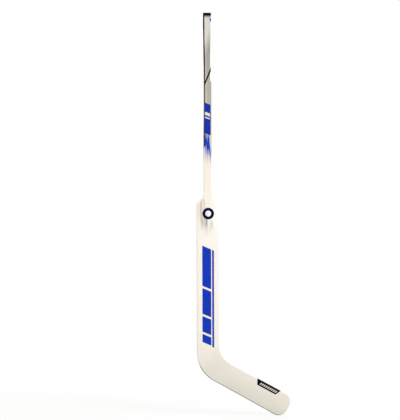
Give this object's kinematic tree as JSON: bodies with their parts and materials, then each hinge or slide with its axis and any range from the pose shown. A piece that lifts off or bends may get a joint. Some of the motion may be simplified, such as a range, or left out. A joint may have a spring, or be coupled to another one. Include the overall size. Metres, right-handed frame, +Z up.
{
  "type": "ice hockey goalie stick",
  "caption": "Ice hockey goalie stick: hollow rectangular shaft, wide foam-cored paddle with sloping shoulders, angled curved blade and a pull-out butt plug.",
  "frame": {"origin": "centre of the shaft at the neck, where the shoulders of the paddle begin and the hand holds the stick", "axes": "+Z up the shaft to the butt, +X towards the toe of the blade, front (printed) face towards -Y"},
  "size_m": [0.3502, 0.0277, 1.5148],
  "materials": {
    "shaft_paint": "clear-coated grey to warm white",
    "white_paint": "clear-coated warm white",
    "edge_resin": "grey wear edge of bare resin",
    "plug_rubber": "satin black",
    "foam": "closed-cell foam",
    "dense_foam": "dense closed-cell foam",
    "laminate": "woven carbon laminate",
    "label_film": "black printed film"
  },
  "bodies": {
    "stick": {"shaft_tube": "shaft_paint", "paddle_front_skin": "white_paint", "paddle_back_skin": "white_paint", "paddle_rail_left": "white_paint", "paddle_rail_right": "white_paint", "paddle_core_left": "foam", "paddle_core_right": "foam", "heel_block": "dense_foam", "blade_front_skin": "white_paint", "blade_back_skin": "white_paint", "blade_sole_strip": "edge_resin", "blade_top_strip": "white_paint", "toe_cap": "white_paint", "blade_stringer": "laminate", "blade_core_lower": "foam", "blade_core_upper": "foam", "toe_label": "label_film"},
    "plug": {"butt_plug": "plug_rubber"}
  },
  "joints": [
    {"name": "plug_pull", "type": "slide", "parent": "stick", "child": "plug", "axis": [0, 0, 1], "range_m": [0, 0.06]}
  ]
}
